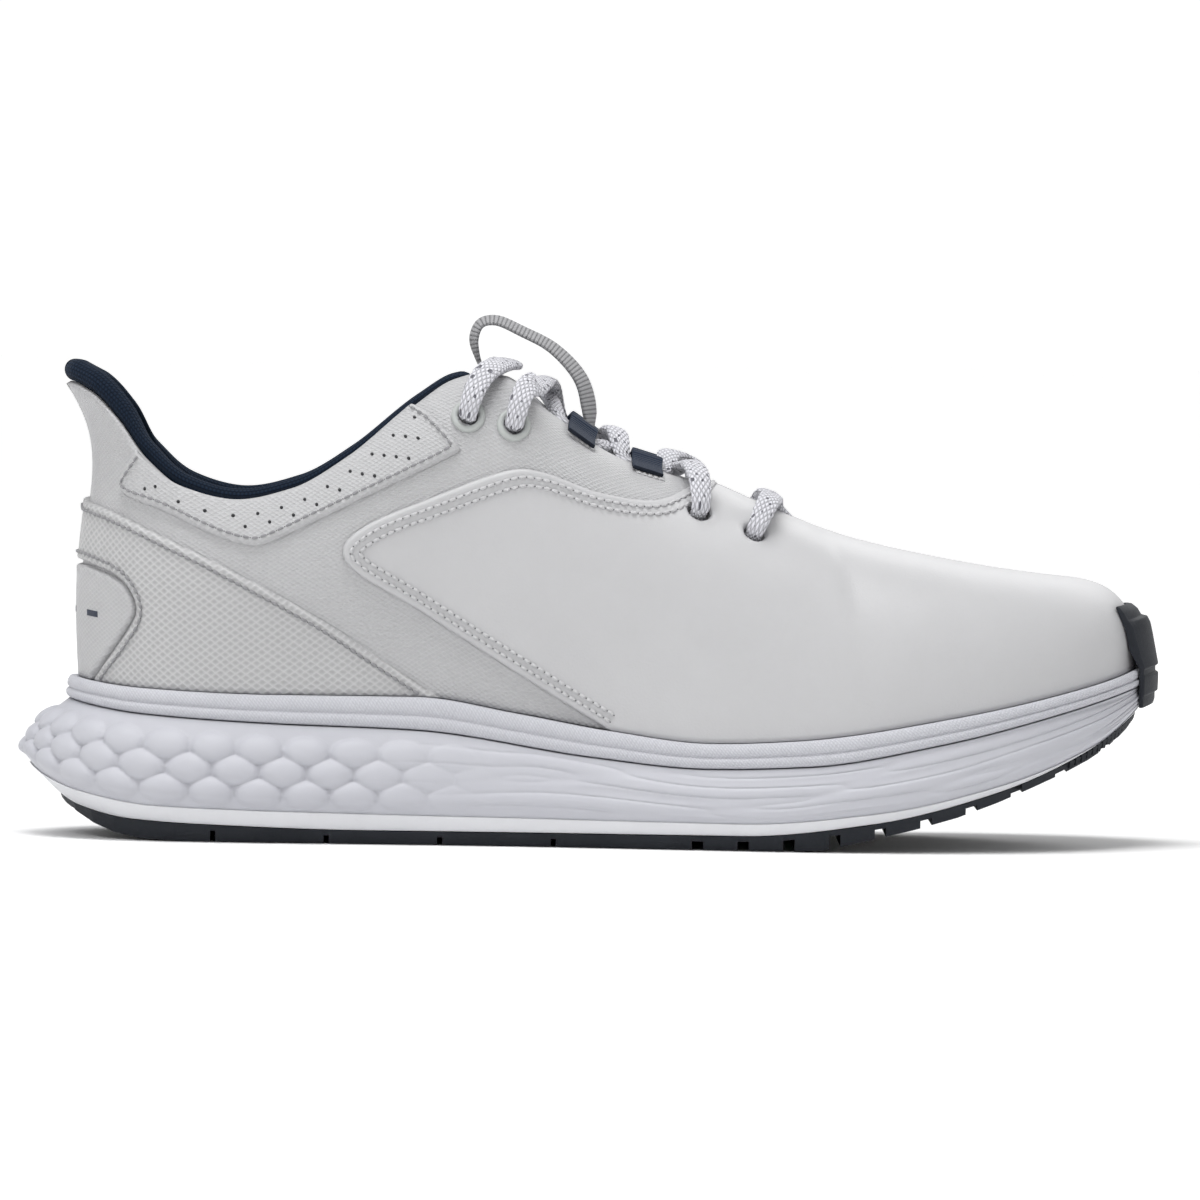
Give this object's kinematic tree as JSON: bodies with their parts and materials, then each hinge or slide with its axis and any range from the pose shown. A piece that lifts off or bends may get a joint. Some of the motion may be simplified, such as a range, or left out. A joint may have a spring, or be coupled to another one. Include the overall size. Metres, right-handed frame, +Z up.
{
  "type": "golf shoe",
  "caption": "Low-cut spikeless golf shoe, right foot: laced leather-look upper on a dimpled foam midsole with a lugged rubber outsole.",
  "frame": {"origin": "on the ground below the centre of the shoe's overall box", "axes": "+X from heel to toe, +Z up, -Y towards the outer (lateral) side of the foot"},
  "size_m": [0.3034, 0.107, 0.1392],
  "materials": {
    "foam": "matte moulded foam",
    "carrier": "satin moulded rim",
    "rubber_black": "matte moulded rubber",
    "foxing": "fine diagonal texture",
    "board": "pressed fibre",
    "sockliner": "brushed textile over foam",
    "synthetic_leather_smooth": "smooth, fine grain",
    "synthetic_leather_ripstop": "fine square emboss",
    "synthetic_leather_diamond": "coarse diamond emboss",
    "collar_knit": "knitted textile",
    "stiffener": "fused sheet",
    "tongue_leather": "padded, fine grain",
    "webbing_grey": "grosgrain webbing",
    "webbing_navy": "ribbed webbing",
    "eyelet": "moulded ring",
    "lace": "braided, silver flecked"
  },
  "bodies": {
    "shoe": {"midsole": "foam", "outsole_carrier": "carrier", "outsole": "rubber_black", "foxing": "foxing", "insole_board": "board", "sockliner": "sockliner", "quarter_lateral": "synthetic_leather_ripstop", "quarter_medial": "synthetic_leather_ripstop", "vamp": "synthetic_leather_smooth", "heel_strap": "synthetic_leather_diamond", "heel_patch": "synthetic_leather_smooth", "collar_panel_lateral": "synthetic_leather_smooth", "collar_panel_medial": "synthetic_leather_smooth", "heel_counter": "stiffener", "toe_puff": "stiffener", "heel_lining": "collar_knit", "vamp_lining": "collar_knit", "collar_roll": "collar_knit", "toe_bumper": "rubber_black", "lace": "lace", "eyelet_ring_lateral_1": "eyelet", "lace_loop_lateral_1": "webbing_navy", "eyelet_ring_lateral_2": "eyelet", "lace_loop_lateral_2": "webbing_navy", "eyelet_ring_medial_1": "eyelet", "lace_loop_medial_1": "webbing_navy", "eyelet_ring_medial_2": "eyelet", "lace_loop_medial_2": "webbing_navy"},
    "tongue": {"tongue": "tongue_leather"},
    "pull_ribbon": {"pull_ribbon": "webbing_grey"}
  },
  "joints": [
    {"name": "tongue_sink", "type": "hinge", "parent": "shoe", "child": "tongue", "pos_m": [0.06, -0.0005, 0.075], "axis": [0, 1, 0], "range_deg": [-2, 0], "stiffness_Nm_per_rad": 1.5, "springref_deg": 2.86},
    {"name": "ribbon_flop", "type": "hinge", "parent": "tongue", "child": "pull_ribbon", "pos_m": [-0.0305, -0.002, 0.124], "axis": [0.8591, 0, -0.5119], "range_deg": [-12, 12], "stiffness_Nm_per_rad": 0.02}
  ]
}
